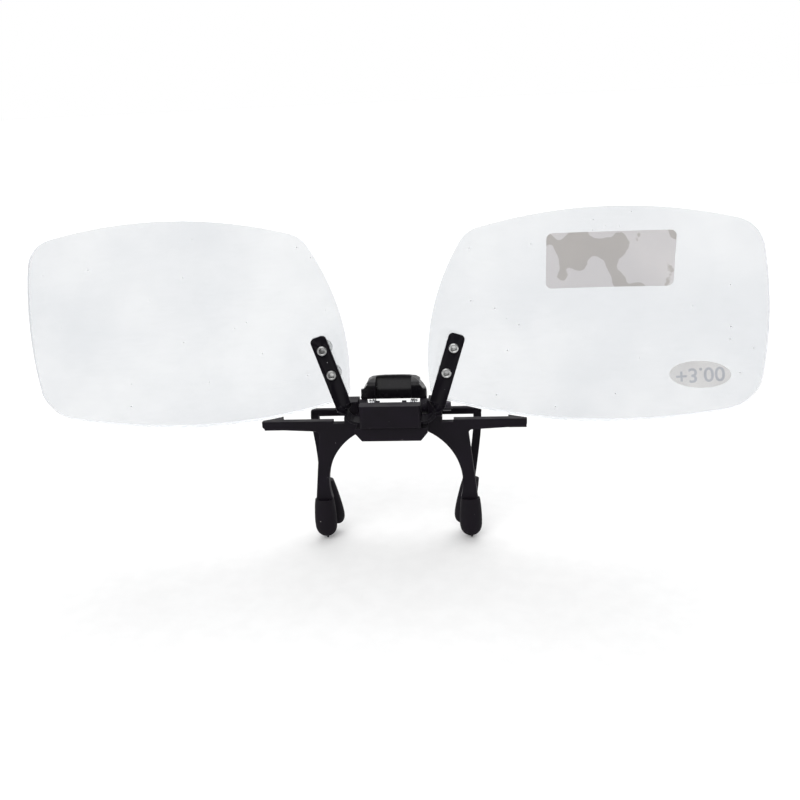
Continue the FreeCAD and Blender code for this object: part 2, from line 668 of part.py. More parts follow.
def fastenings(name, side):
    rivets, bushes, washers = [], [], []
    for i, distance in enumerate(RIVETS):
        x, z = on_ear(distance)
        x = signed(side, x)
        far = lens_far_side(distance) + " + hole_fit"
        end = far + " + washer_thick"
        tag = "%s_%d" % (name, i)
        shank = tube("Shank_" + tag, "rivet_r", "rivet_bore", x, z, EAR_FRONT, end)
        head = tube("Head_" + tag, "rivet_head_r", "rivet_bore", x, z,
                    EAR_FRONT + " - rivet_head_thick", EAR_FRONT)
        flare = tube("Flare_" + tag, "rivet_head_r", "rivet_bore", x, z,
                     end, end + " + rivet_head_thick")
        rivets.append(joined("Rivet_" + tag, [shank, head, flare]))
        flange = tube("Flange_" + tag, "bush_r", "rivet_r + hole_fit", x, z,
                      EAR_BACK, EAR_BACK + " + bush_flange")
        sleeve = tube("Sleeve_" + tag, "bush_sleeve_r", "rivet_r + hole_fit", x, z,
                      EAR_BACK, far)
        bushes.append(joined("Bush_" + tag, [flange, sleeve]))
        washers.append(tube("Washer_" + tag, "washer_r", "rivet_r + hole_fit", x, z, far, end))
    group(name + "_rivets", rivets)
    group(name + "_bushes", bushes)
    group(name + "_washers", washers)


# ---- lenses and labels ---------------------------------------------------------------------------

LENS_CORNERS = ("nose_low", "temple_low", "temple_up", "nose_up")
LENS_BOWS = ("bottom_bow", "temple_bow", "top_bow", "nose_bow")


def lens_block():
    """The right lens's block: four bowed sides and rounded corners, thicker than the lens."""
    sketch = doc.addObject("Sketcher::SketchObject", "LensOutline")
    sketch.Placement.Rotation = FreeCAD.Rotation(FreeCAD.Vector(1, 0, 0), 90)
    place(sketch, away="hinge_y + 12")
    corners = [(c + "_x", c + "_z") for c in LENS_CORNERS]
    points = [FreeCAD.Vector(size(a), size(b), 0) for a, b in corners]
    for i, bow in enumerate(LENS_BOWS):
        start, end = points[i], points[(i + 1) % 4]
        half, radius = (end - start) * 0.5, size(bow)
        out = FreeCAD.Vector(half.y, -half.x, 0).normalize()
        rise = radius - (radius ** 2 - half.Length ** 2) ** 0.5
        sketch.addGeometry(Part.Arc(start, start + half + out * rise, end), False)
        pin_point(sketch, i, 1, *corners[i])
        pin_point(sketch, i, 2, *corners[(i + 1) % 4])
        index = sketch.addConstraint(Sketcher.Constraint("Radius", i, radius))
        sketch.setExpression("Constraints[%d]" % index, bound(bow))
    block = doc.addObject("Part::Extrusion", "LensBlock")
    block.Base = sketch
    block.DirMode = "Normal"
    block.LengthFwd = 24
    block.Solid = True
    doc.recompute()
    rounded = doc.addObject("Part::Fillet", "LensRounded")
    rounded.Base = block
    picks = []
    for number, edge in enumerate(block.Shape.Edges, start=1):
        if along(edge, 1):
            at = edge.Vertexes[0].Point
            for corner, point in zip(LENS_CORNERS, points):
                if abs(at.x - point.x) + abs(at.z - point.y) < 0.01:
                    picks.append((number, size(corner + "_r"), size(corner + "_r")))
    rounded.Edges = picks
    return rounded


def ball(name, radius, vertex):
    """A sphere whose vertex, on the lens axis, faces the wearer."""
    item = doc.addObject("Part::Sphere", name)
    item.setExpression("Radius", bound(radius))
    return place(item, "lens_x", vertex + " - ( " + radius + " )", "lens_z")


def lenses():
    """The right lens, and the left one as its mirror image."""
    front = ball("FrontBall", "front_radius", FRONT_VERTEX)
    eye = ball("EyeBall", "eye_radius", EYE_VERTEX)
    blank = cut("LensBlank", common("LensFront", lens_block(), front), eye)
    holes = []
    for i, distance in enumerate(RIVETS):
        x, z = on_ear(distance)
        holes.append(cylinder("LensHole_%d" % i, "bush_sleeve_r + hole_fit", "24",
                              x, "hinge_y - 12", z, "y"))
    right = cut("right_lens", blank, joined("LensHoles", holes))
    right.Label = "right_lens"
    left = doc.addObject("Part::Mirroring", "left_lens")
    left.Source = right
    left.Normal = (1, 0, 0)
    left.Label = "left_lens"


def label_on_lens(name, block):
    """A thin sticker on the far surface of the right lens."""
    inner = ball(name + "_under", "front_radius + 0.01", FRONT_VERTEX + " + 0.01")
    outer = ball(name + "_over", "front_radius + 0.01 + label_thick",
                 FRONT_VERTEX + " + 0.01 + label_thick")
    item = cut(name, common(name + "_sheet", block, outer), inner)
    item.Label = name


def labels():
    block = box("LabelBlock",
                ("label_x - label_wide / 2", "hinge_y", "label_z - label_high / 2"),
                ("label_x + label_wide / 2", "hinge_y + 16", "label_z + label_high / 2"))
    doc.recompute()
    rounded = doc.addObject("Part::Fillet", "LabelRounded")
    rounded.Base = block
    rounded.Edges = [(number, size("label_round"), size("label_round"))
                     for number, edge in enumerate(block.Shape.Edges, start=1) if along(edge, 1)]
    label_on_lens("blank_label", rounded)
    oval = doc.addObject("Part::Ellipse", "OvalEdge")
    oval.setExpression("MajorRadius", bound("oval_long"))
    oval.setExpression("MinorRadius", bound("oval_short"))
    oval.Placement.Rotation = FreeCAD.Rotation(FreeCAD.Vector(1, 0, 0), 90)
    place(oval, "oval_x", "hinge_y + 16", "oval_z")
    block = doc.addObject("Part::Extrusion", "OvalBlock")
    block.Base = oval
    block.Dir = (0, -1, 0)
    block.DirMode = "Custom"
    block.LengthFwd = 16
    block.Solid = True
    label_on_lens("power_label", block)


# ---- hinge block and leaf ------------------------------------------------------------------------

ROOM_TOP = "block_top - block_slope - 0.05"
LEAF_TOP = ROOM_TOP + " - leaf_fit"
LEAF_LOW = "hinge_z + strip_thick / 2 + leaf_fit"


def hinge_block():
    body = make_body("hinge_block")
    low = "hub_top + 0.05"
    side_view = sketch_on(body, "YZ_Plane", "BlockSide")
    outline(side_view, [
        ("block_front", low), ("block_back", low), ("block_back", "block_top - block_slope"),
        ("hub_front + 1.5", "block_top"), ("block_front", "block_top"),
    ])
    pad(body, side_view, "Block", "2 * block_half", both=True)
    round_edges(body, "BlockRound", "block_round", lambda p, e:
                abs(p.y - size("block_front")) < 0.01 and not (along(e, 0) and p.z > size("hinge_z")))
    room = sketch_on(body, "YZ_Plane", "RoomSide")
    outline(room, [
        ("block_front + block_wall", "hub_top - 1"), ("block_back - block_wall", "hub_top - 1"),
        ("block_back - block_wall", ROOM_TOP), ("block_front + block_wall", ROOM_TOP),
    ])
    pocket(body, room, "Room", "2 * ( block_half - block_wall )", both=True)
    turning = sketch_on(body, "YZ_Plane", "TurningEnd")
    circle(turning, "hinge_y", "hinge_z", "strip_wide / 2 + strip_thick / 8 + strip_fit")
    pocket(body, turning, "Turning", "2 * block_half + 2", both=True)
    for name, side in SIDES:
        nub = sketch_on(body, "YZ_Plane", "Nub_" + name, signed(side, "nub_x"))
        slope = "block_top - block_slope / 2"
        circle(nub, "block_back - 0.9", slope + " + 0.05", "nub_r")
        pad(body, nub, "NubPad_" + name, "0.9", both=True)
    return body


def detent_leaf():
    """A bowed leaf: its ends bear on the block's roof and its middle on the flat bar."""
    body = make_body("detent_leaf")
    half = "( block_half - block_wall - leaf_fit )"
    leaf = sketch_on(body, "XZ_Plane", "LeafSide", "-1 * ( hinge_y + leaf_wide / 2 )")
    outline(leaf, [
        ("-1.2", LEAF_LOW), ("1.2", LEAF_LOW), (half, LEAF_TOP + " - leaf_thick * 1.2"),
        (half, LEAF_TOP), (half + " - 0.3", LEAF_TOP), ("1.1", LEAF_LOW + " + leaf_thick"),
        ("-1.1", LEAF_LOW + " + leaf_thick"), ("-1 * " + half + " + 0.3", LEAF_TOP),
        ("-1 * " + half, LEAF_TOP), ("-1 * " + half, LEAF_TOP + " - leaf_thick * 1.2"),
    ])
    pad(body, leaf, "Leaf", "leaf_wide")


# ---- the whole object ----------------------------------------------------------------------------

front_jaw()
hinge_block()
detent_leaf()
lens_yoke()
for name, side in SIDES:
    front_sleeve(name, side)
    rear_sleeve(name, side)
    fastenings(name, side)
lenses()
labels()
rear_jaw()
thumb_lever()
pivot()
torsion_spring()
doc.recompute()

NODES = (
    "front_jaw", "hinge_block", "detent_leaf", "lens_yoke",
    "front_left_sleeve", "front_right_sleeve", "rear_left_sleeve", "rear_right_sleeve",
    "left_rivets", "right_rivets", "left_bushes", "right_bushes", "left_washers", "right_washers",
    "left_lens", "right_lens", "blank_label", "power_label",
    "rear_jaw", "thumb_lever", "pivot_pin", "pin_cap", "torsion_spring",
)

for thing in doc.Objects:
    if "Invalid" in thing.State or "Error" in thing.State:
        raise RuntimeError("failed feature: " + thing.Name + ", " + thing.getStatusString())

os.makedirs("parts", exist_ok=True)
for node in NODES:
    shape = doc.getObjectsByLabel(node)[0].Shape
    if shape.isNull() or not shape.isValid() or not shape.Solids:
        raise RuntimeError("bad shape: " + node)
    shape.exportStep("parts/" + node + ".step")
    print("%-20s solids %d  volume %8.2f mm3" % (node, len(shape.Solids), shape.Volume))
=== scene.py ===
import math

import bmesh
import bpy
from mathutils import Matrix, Vector


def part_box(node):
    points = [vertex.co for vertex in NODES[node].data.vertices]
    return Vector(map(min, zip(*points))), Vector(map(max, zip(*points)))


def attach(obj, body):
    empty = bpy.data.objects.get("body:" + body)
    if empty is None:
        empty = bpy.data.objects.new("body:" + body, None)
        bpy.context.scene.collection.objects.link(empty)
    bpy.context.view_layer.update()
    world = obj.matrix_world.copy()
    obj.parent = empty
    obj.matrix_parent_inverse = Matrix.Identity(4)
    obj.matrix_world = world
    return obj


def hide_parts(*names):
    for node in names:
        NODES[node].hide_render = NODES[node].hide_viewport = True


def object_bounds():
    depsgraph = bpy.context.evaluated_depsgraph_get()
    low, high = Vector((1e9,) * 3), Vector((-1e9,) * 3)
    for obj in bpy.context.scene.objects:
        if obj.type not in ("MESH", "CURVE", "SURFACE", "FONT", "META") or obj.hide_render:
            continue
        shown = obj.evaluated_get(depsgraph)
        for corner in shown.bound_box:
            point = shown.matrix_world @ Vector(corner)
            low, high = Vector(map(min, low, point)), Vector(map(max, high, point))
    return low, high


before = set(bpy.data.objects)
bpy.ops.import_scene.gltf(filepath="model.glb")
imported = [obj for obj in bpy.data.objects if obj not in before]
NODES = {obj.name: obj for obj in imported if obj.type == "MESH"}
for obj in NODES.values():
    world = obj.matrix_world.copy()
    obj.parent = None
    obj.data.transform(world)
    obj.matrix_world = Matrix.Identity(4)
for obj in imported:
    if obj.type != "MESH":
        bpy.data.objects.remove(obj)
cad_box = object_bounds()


# ---- effects shared by several finishes ---------------------------------------------------------

def effect_group(name, inputs, outputs):
    """An empty shader node group with plain number inputs and named outputs."""
    group = bpy.data.node_groups.new(name, "ShaderNodeTree")
    for label, value in inputs:
        socket = group.interface.new_socket(label, in_out="INPUT", socket_type="NodeSocketFloat")
        socket.default_value = value
    for label, kind in outputs:
        group.interface.new_socket(label, in_out="OUTPUT", socket_type=kind)
    return group, group.nodes.new("NodeGroupInput"), group.nodes.new("NodeGroupOutput")


def maths(tree, operation, first, second=None):
    """One Math node: first and second are sockets or plain numbers."""
    node = tree.nodes.new("ShaderNodeMath")
    node.operation = operation
    for slot, value in enumerate((first, second)):
        if value is None:
            continue
        if isinstance(value, (int, float)):
            node.inputs[slot].default_value = value
        else:
            tree.links.new(value, node.inputs[slot])
    return node.outputs[0]


def ranged(tree, value, low, high, out_low=0.0, out_high=1.0, smooth=True):
    """Maps low..high of a value to out_low..out_high, clamped."""
    node = tree.nodes.new("ShaderNodeMapRange")
    node.interpolation_type = "SMOOTHSTEP" if smooth else "LINEAR"
    tree.links.new(value, node.inputs["Value"])
    for label, number in (("From Min", low), ("From Max", high), ("To Min", out_low), ("To Max", out_high)):
        if isinstance(number, (int, float)):
            node.inputs[label].default_value = number
        else:
            tree.links.new(number, node.inputs[label])
    return node.outputs["Result"]


def place_of(tree):
    """The surface's own place, in metres, the same at every pose."""
    return tree.nodes.new("ShaderNodeTexCoord").outputs["Object"]


def noise(tree, scale, detail=3.0, roughness=0.55):
    """Soft noise over the surface: scale is a socket or a number of lumps per metre."""
    node = tree.nodes.new("ShaderNodeTexNoise")
    tree.links.new(place_of(tree), node.inputs["Vector"])
    if isinstance(scale, (int, float)):
        node.inputs["Scale"].default_value = scale
    else:
        tree.links.new(scale, node.inputs["Scale"])
    node.inputs["Detail"].default_value = detail
    node.inputs["Roughness"].default_value = roughness
    return node.outputs["Fac"]


def make_edge_wear():
    """Rounds the look of sharp edges and marks where handling has polished them."""
    group, given, out = effect_group(
        "edge_wear", [("Radius", 0.00015), ("Patchiness", 0.5)],
        [("Wear", "NodeSocketFloat"), ("Normal", "NodeSocketVector")])
    bevel = group.nodes.new("ShaderNodeBevel")
    bevel.samples = 6
    group.links.new(given.outputs["Radius"], bevel.inputs["Radius"])
    geometry = group.nodes.new("ShaderNodeNewGeometry")
    dot = group.nodes.new("ShaderNodeVectorMath")
    dot.operation = "DOT_PRODUCT"
    group.links.new(bevel.outputs["Normal"], dot.inputs[0])
    group.links.new(geometry.outputs["Normal"], dot.inputs[1])
    edge = ranged(group, dot.outputs["Value"], 0.99, 0.85)
    patches = ranged(group, noise(group, 900.0), 0.35, 0.6)
    kept = maths(group, "SUBTRACT", 1.0, given.outputs["Patchiness"])
    share = maths(group, "ADD", kept, maths(group, "MULTIPLY", patches, given.outputs["Patchiness"]))
    group.links.new(maths(group, "MULTIPLY", edge, share), out.inputs["Wear"])
    group.links.new(bevel.outputs["Normal"], out.inputs["Normal"])
    return group


def make_moulded_grain():
    """A fine even grain, such as a moulding tool leaves, with slow changes of sheen over it."""
    group, given, out = effect_group(
        "moulded_grain", [("Grain per metre", 9000.0)],
        [("Height", "NodeSocketFloat"), ("Sheen", "NodeSocketFloat")])
    fine = noise(group, given.outputs["Grain per metre"], 2.0, 0.6)
    coarse = noise(group, maths(group, "MULTIPLY", given.outputs["Grain per metre"], 0.3), 2.0)
    height = maths(group, "ADD", fine, maths(group, "MULTIPLY", coarse, 0.5))
    group.links.new(height, out.inputs["Height"])
    group.links.new(ranged(group, noise(group, 260.0, 4.0), 0.3, 0.7), out.inputs["Sheen"])
    return group


def make_dust():
    """Loose round specks, thinly scattered."""
    group, given, out = effect_group(
        "dust", [("Specks per metre", 900.0), ("Amount", 0.5)], [("Mask", "NodeSocketFloat")])
    cells = group.nodes.new("ShaderNodeTexVoronoi")
    group.links.new(place_of(group), cells.inputs["Vector"])
    group.links.new(given.outputs["Specks per metre"], cells.inputs["Scale"])
    shade = group.nodes.new("ShaderNodeSeparateColor")
    group.links.new(cells.outputs["Color"], shade.inputs["Color"])
    reach = maths(group, "MULTIPLY", ranged(group, shade.outputs["Red"], 0.72, 1.0), 0.16)
    reach = maths(group, "MULTIPLY", reach, given.outputs["Amount"])
    speck = maths(group, "LESS_THAN", cells.outputs["Distance"], reach)
    group.links.new(speck, out.inputs["Mask"])
    return group


EDGE_WEAR = make_edge_wear()
MOULDED_GRAIN = make_moulded_grain()
DUST = make_dust()


# ---- finishes -----------------------------------------------------------------------------------

class Finish:
    """One material: a Principled shader and what feeds it."""

    def __init__(self, name, **plain):
        self.material = bpy.data.materials.new(name)
        self.material.use_nodes = True
        self.tree = self.material.node_tree
        self.shader = next(n for n in self.tree.nodes if n.type == "BSDF_PRINCIPLED")
        for label, value in plain.items():
            self.shader.inputs[label.replace("_", " ")].default_value = value

    def effect(self, group, **values):
        node = self.tree.nodes.new("ShaderNodeGroup")
        node.node_tree = group
        for label, value in values.items():
            node.inputs[label.replace("_", " ")].default_value = value
        return node.outputs

    def blend_colour(self, share, first, second):
        """A mix from first to second by share; each is a colour or a socket."""
        node = self.tree.nodes.new("ShaderNodeMix")
        node.data_type = "RGBA"
        self.tree.links.new(share, node.inputs["Factor"])
        for socket, value in ((node.inputs[6], first), (node.inputs[7], second)):
            if isinstance(value, tuple):
                socket.default_value = (*value, 1.0)
            else:
                self.tree.links.new(value, socket)
        return node.outputs[2]

    def feed(self, label, socket):
        self.tree.links.new(socket, self.shader.inputs[label])

    def bump(self, height, distance, strength=1.0, normal=None):
        node = self.tree.nodes.new("ShaderNodeBump")
        node.inputs["Distance"].default_value = distance
        node.inputs["Strength"].default_value = strength
        self.tree.links.new(height, node.inputs["Height"])
        if normal is not None:
            self.tree.links.new(normal, node.inputs["Normal"])
        self.feed("Normal", node.outputs["Normal"])


def moulded(name, colour, sheen_colour, worn_colour, rough_low, rough_high, grain, depth, radius, dusty,
            gloss):
    """Black moulded plastic or rubber: grain, uneven sheen, polished edges and specks of dust."""
    finish = Finish(name, Specular_IOR_Level=gloss)
    texture = finish.effect(MOULDED_GRAIN, Grain_per_metre=grain)
    wear = finish.effect(EDGE_WEAR, Radius=radius)
    specks = finish.effect(DUST, Amount=dusty)
    shade = finish.blend_colour(texture["Sheen"], colour, sheen_colour)
    shade = finish.blend_colour(maths(finish.tree, "MULTIPLY", wear["Wear"], 0.6), shade, worn_colour)
    shade = finish.blend_colour(specks["Mask"], shade, (0.35, 0.34, 0.33))
    finish.feed("Base Color", shade)
    rough = ranged(finish.tree, texture["Sheen"], 0.0, 1.0, rough_low, rough_high, smooth=False)
    finish.feed("Roughness", maths(finish.tree, "SUBTRACT", rough,
                                   maths(finish.tree, "MULTIPLY", wear["Wear"], 0.12)))
    finish.bump(texture["Height"], depth, 0.7, wear["Normal"])
    return finish.material


def black_strip():
    """Anodised spring strip: faint rolling lines, and bare metal where the edges have rubbed."""
    finish = Finish("yoke_strip_black", Specular_IOR_Level=0.06)
    wear = finish.effect(EDGE_WEAR, Radius=0.0001, Patchiness=0.7)
    grain = finish.effect(MOULDED_GRAIN, Grain_per_metre=5200.0)
    specks = finish.effect(DUST, Amount=0.5)
    shade = finish.blend_colour(grain["Sheen"], (0.002, 0.0013, 0.003), (0.0035, 0.0024, 0.005))
    rubbed = maths(finish.tree, "MULTIPLY", wear["Wear"], 0.55)
    shade = finish.blend_colour(rubbed, shade, (0.16, 0.155, 0.17))
    shade = finish.blend_colour(specks["Mask"], shade, (0.3, 0.3, 0.3))
    finish.feed("Base Color", shade)
    finish.feed("Roughness", ranged(finish.tree, grain["Sheen"], 0.0, 1.0, 0.34, 0.42, smooth=False))
    finish.bump(grain["Height"], 0.0000015, 0.6, wear["Normal"])
    return finish.material


def bright_metal(name, colour, rough_low, rough_high, scratches):
    """Silver metal with fine turning marks and dull patches."""
    finish = Finish(name, Metallic=1.0)
    wear = finish.effect(EDGE_WEAR, Radius=0.00005)
    grain = finish.effect(MOULDED_GRAIN, Grain_per_metre=scratches)
    dullness = 0.55
    dull = tuple(c * dullness for c in colour)
    finish.feed("Base Color", finish.blend_colour(grain["Sheen"], dull, colour))
    rough = ranged(finish.tree, grain["Sheen"], 0.0, 1.0, rough_high, rough_low, smooth=False)
    finish.feed("Roughness", rough)
    finish.bump(grain["Height"], 0.000003, 0.6, wear["Normal"])
    return finish.material


def dark_metal():
    """Black oxide pins, rubbed brown grey at the rims."""
    finish = Finish("pin_black_oxide", Metallic=1.0)
    wear = finish.effect(EDGE_WEAR, Radius=0.00012, Patchiness=0.4)
    grain = finish.effect(MOULDED_GRAIN, Grain_per_metre=7000.0)
    shade = finish.blend_colour(grain["Sheen"], (0.03, 0.028, 0.033), (0.055, 0.05, 0.06))
    finish.feed("Base Color", finish.blend_colour(wear["Wear"], shade, (0.25, 0.24, 0.25)))
    finish.feed("Roughness", ranged(finish.tree, grain["Sheen"], 0.0, 1.0, 0.3, 0.45, smooth=False))
    finish.bump(grain["Height"], 0.000004, 0.6, wear["Normal"])
    return finish.material


def clear_lens():
    """Polished lens plastic with faint smears and a few specks."""
    finish = Finish("lens_polished", Transmission_Weight=1.0, IOR=1.5)
    specks = finish.effect(DUST, Specks_per_metre=420.0, Amount=0.5)
    smear = ranged(finish.tree, noise(finish.tree, 34.0, 4.0), 0.35, 0.7)
    shade = finish.blend_colour(smear, (0.70, 0.715, 0.735), (0.79, 0.80, 0.81))
    finish.feed("Base Color", finish.blend_colour(specks["Mask"], shade, (0.55, 0.56, 0.58)))
    finish.feed("Roughness", maths(finish.tree, "MULTIPLY", specks["Mask"], 0.45))
    return finish.material


def ground_rim():
    """The lens's ground edge: frosted, with the fine lines that the wheel leaves, and a painted glow: its
    frosted colour also feeds emission, so it shines bright with no lamp on it.
    """
    finish = Finish("lens_ground_rim", IOR=1.5, Emission_Strength=0.3)
    lines = finish.effect(MOULDED_GRAIN, Grain_per_metre=4200.0)
    frost_and_glow = finish.blend_colour(lines["Sheen"], (0.93, 0.94, 0.95), (0.985, 0.99, 0.995))
    finish.feed("Base Color", frost_and_glow)
    # Painted light: the rim glows in its own frosted colour.
    finish.feed("Emission Color", frost_and_glow)
    finish.feed("Roughness", ranged(finish.tree, lines["Sheen"], 0.0, 1.0, 0.22, 0.4, smooth=False))
    finish.bump(lines["Height"], 0.000002, 0.4)
    return finish.material


def milky_plastic():
    """Soft translucent bushes and washers, a little yellowed."""
    finish = Finish("bush_milky", Transmission_Weight=0.75, IOR=1.48)
    grain = finish.effect(MOULDED_GRAIN, Grain_per_metre=3000.0)
    finish.feed("Base Color", finish.blend_colour(grain["Sheen"], (0.86, 0.87, 0.86), (0.95, 0.95, 0.94)))
    finish.feed("Roughness", ranged(finish.tree, grain["Sheen"], 0.0, 1.0, 0.12, 0.25, smooth=False))
    finish.bump(grain["Height"], 0.000005, 0.4)
    return finish.material


def lens_side(finish):
    """1 on the side of a label that is stuck to the lens, 0 on its outer side."""
    way = finish.tree.nodes.new("ShaderNodeSeparateXYZ")
    own = finish.tree.nodes.new("ShaderNodeTexCoord")
    finish.tree.links.new(own.outputs["Normal"], way.inputs["Vector"])
    return ranged(finish.tree, way.outputs["Y"], 0.1, -0.1)


def blank_sticker():
    """Silver grey film with a painted glow on its lens side, which stands in for light coming through it:
    blotches where its glue is missing, grain outside.
    """
    finish = Finish("label_silver_grey", Emission_Strength=0.32)
    grain = finish.effect(MOULDED_GRAIN, Grain_per_metre=2600.0)
    paper = finish.blend_colour(grain["Sheen"], (0.70, 0.68, 0.67), (0.76, 0.735, 0.725))
    patches = noise(finish.tree, 150.0, 1.2, 0.5)
    ragged = noise(finish.tree, 900.0, 3.0)
    edge = maths(finish.tree, "ADD", patches, maths(finish.tree, "MULTIPLY", ragged, 0.05))
    blots = ranged(finish.tree, edge, 0.575, 0.585)
    glue = finish.blend_colour(blots, (0.86, 0.81, 0.79), (0.62, 0.57, 0.53))
    inner = lens_side(finish)
    finish.feed("Base Color", finish.blend_colour(inner, paper, glue))
    # Painted light: the side stuck to the lens glows in the glue colour; the outer side does not glow.
    finish.feed("Emission Color", finish.blend_colour(inner, (0.0, 0.0, 0.0), glue))
    finish.feed("Roughness", ranged(finish.tree, grain["Sheen"], 0.0, 1.0, 0.4, 0.55, smooth=False))
    finish.bump(grain["Height"], 0.000006, 0.4)
    return finish.material


def power_sticker():
    """Grey beige oval film with a painted glow on its lens side, which stands in for light coming through it.
    """
    finish = Finish("label_grey_beige", Emission_Strength=0.32)
    grain = finish.effect(MOULDED_GRAIN, Grain_per_metre=3400.0)
    film = finish.blend_colour(grain["Sheen"], (0.80, 0.765, 0.74), (0.86, 0.83, 0.80))
    finish.feed("Base Color", film)
    # Painted light: the side stuck to the lens glows in the film colour.
    finish.feed("Emission Color", finish.blend_colour(lens_side(finish), (0.0, 0.0, 0.0), film))
    finish.feed("Roughness", ranged(finish.tree, grain["Sheen"], 0.0, 1.0, 0.35, 0.5, smooth=False))
    finish.bump(grain["Height"], 0.000005, 0.4)
    return finish.material


def label_ink():
    """Grey printed figures, a little uneven, with a painted glow in the ink colour."""
    finish = Finish("label_ink_grey", Roughness=0.5, Emission_Strength=0.25)
    grain = finish.effect(MOULDED_GRAIN, Grain_per_metre=5000.0)
    ink_and_glow = finish.blend_colour(grain["Sheen"], (0.52, 0.52, 0.55), (0.60, 0.60, 0.63))
    finish.feed("Base Color", ink_and_glow)
    # Painted light: the figures glow in their ink colour.
    finish.feed("Emission Color", ink_and_glow)
    return finish.material


JAW_BLACK = moulded(
    "jaw_moulded_black", colour=(0.003, 0.0016, 0.0042), sheen_colour=(0.0056, 0.0036, 0.0075),
    worn_colour=(0.035, 0.031, 0.041), rough_low=0.5, rough_high=0.64, grain=9000.0, depth=0.000006,
    radius=0.00018, dusty=0.4, gloss=0.14)
LEVER_BLACK = moulded(
    "lever_satin_black", colour=(0.004, 0.0035, 0.005), sheen_colour=(0.007, 0.006, 0.008),
    worn_colour=(0.04, 0.038, 0.043), rough_low=0.2, rough_high=0.32, grain=7000.0, depth=0.000002,
    radius=0.0002, dusty=0.2, gloss=0.16)
RUBBER_BLACK = moulded(
    "sleeve_soft_rubber", colour=(0.0035, 0.002, 0.0045), sheen_colour=(0.006, 0.004, 0.0075),
    worn_colour=(0.025, 0.023, 0.028), rough_low=0.6, rough_high=0.76, grain=6500.0, depth=0.000008,
    radius=0.0002, dusty=0.5, gloss=0.16)
YOKE_BLACK = black_strip()
RIVET_SILVER = bright_metal("rivet_satin_silver", (0.50, 0.50, 0.50), 0.22, 0.38, 6000.0)
SPRING_STEEL = bright_metal("spring_wire_steel", (0.55, 0.55, 0.57), 0.2, 0.34, 8000.0)
PIN_BLACK = dark_metal()
LENS_CLEAR = clear_lens()
LENS_RIM = ground_rim()
BUSH_MILKY = milky_plastic()
LABEL_SILVER = blank_sticker()
LABEL_OVAL = power_sticker()
LABEL_INK = label_ink()


# ---- making pieces ------------------------------------------------------------------------------

WELD = 2e-6
FLAT_WITHIN = math.radians(0.6)
MOULDED_EDGE = 0.00014
STRIP_EDGE = 0.00008
LEVER_EDGE = 0.00028
RUBBER_EDGE = 0.0002
PIN_EDGE = 0.00012
LEAF_EDGE = 0.00004
BUSH_EDGE = 0.00006
WASHER_EDGE = 0.00008


def piece(name, mesh, materials, body, nodes=(), sharp_deg=32.0):
    """Puts a mesh into the scene as a piece that rides on a body and stands for CAD nodes."""
    mesh.name = name
    mesh.materials.clear()
    for material in materials:
        mesh.materials.append(material)
    mesh.shade_smooth()
    mesh.set_sharp_from_angle(angle=math.radians(sharp_deg))
    item = bpy.data.objects.new(name, mesh)
    bpy.context.scene.collection.objects.link(item)
    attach(item, body)
    if nodes:
        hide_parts(*nodes)
    return item


def keep_flats_flat(item):
    """Leaves the shading of broad faces flat, so that only their rounded borders turn the light."""
    item.modifiers.new("flat_faces", "WEIGHTED_NORMAL").keep_sharp = True
    return item


def solid_of(node):
    """The CAD node's surface as a clean mesh to work on: welded, with its flat faces whole."""
    work = bmesh.new()
    work.from_mesh(NODES[node].data)
    bmesh.ops.remove_doubles(work, verts=work.verts, dist=WELD)
    bmesh.ops.dissolve_limit(work, angle_limit=FLAT_WITHIN, verts=work.verts, edges=work.edges)
    return work


def mesh_of(work, name):
    """Ends the work on a mesh: its faces turned outwards, as a named mesh."""
    mesh = bpy.data.meshes.new(name)
    bmesh.ops.recalc_face_normals(work, faces=work.faces)
    work.to_mesh(mesh)
    work.free()
    return mesh


def softened(node, name, material, body, width, segments=3, angle_deg=28.0):
    """The node's own shape with every crisp edge rounded over by a real radius."""
    work = solid_of(node)
    edges = [e for e in work.edges if e.is_manifold and e.calc_face_angle() > math.radians(angle_deg)]
    bmesh.ops.bevel(work, geom=edges, offset=width, offset_type="OFFSET", segments=segments,
                    profile=0.5, affect="EDGES", clamp_overlap=True, harden_normals=False)
    bmesh.ops.triangulate(work, faces=[f for f in work.faces if len(f.verts) > 4])
    return keep_flats_flat(piece(name, mesh_of(work, name), [material], body, [node]))


def lathe(work, centre, profile, count, materials):
    """Turns a closed profile of (radius, y) pairs round an axis parallel to Y; one material per span."""
    rings = []
    for step in range(count):
        turn = 2 * math.pi * step / count
        rings.append([work.verts.new((centre[0] + r * math.cos(turn), y, centre[1] + r * math.sin(turn)))
                      for r, y in profile])
    for step in range(count):
        here, after = rings[step], rings[(step + 1) % count]
        for i in range(len(profile)):
            j = (i + 1) % len(profile)
            face = work.faces.new((here[i], here[j], after[j], after[i]))
            face.material_index = materials[i]


def clusters(node):
    """The separate solids of a node, lowest first, each as (x, z, lowest y, highest y)."""
    points = sorted((v.co.copy() for v in NODES[node].data.vertices), key=lambda p: p.z)
    gap = max(range(1, len(points)), key=lambda i: points[i].z - points[i - 1].z)
    found = []
    for group in (points[:gap], points[gap:]):
        xs, ys, zs = zip(*group)
        found.append(((min(xs) + max(xs)) / 2, (min(zs) + max(zs)) / 2, min(ys), max(ys)))
    return found


# ---- lenses -------------------------------------------------------------------------------------

FRONT_RADIUS = 0.120
EYE_RADIUS = 0.312
LENS_MID = 0.004
LENS_CENTRE_X = 0.041
LENS_CENTRE_Z = 0.0436
RIM_BREAK = 0.00022
RIM_POINTS = 288
RIM_TURN = math.radians(40)
LENS_ROWS = 22
BORE_RADIUS = 0.00103
DRILL_LENGTH = 0.012
ROUND_COUNT = 48


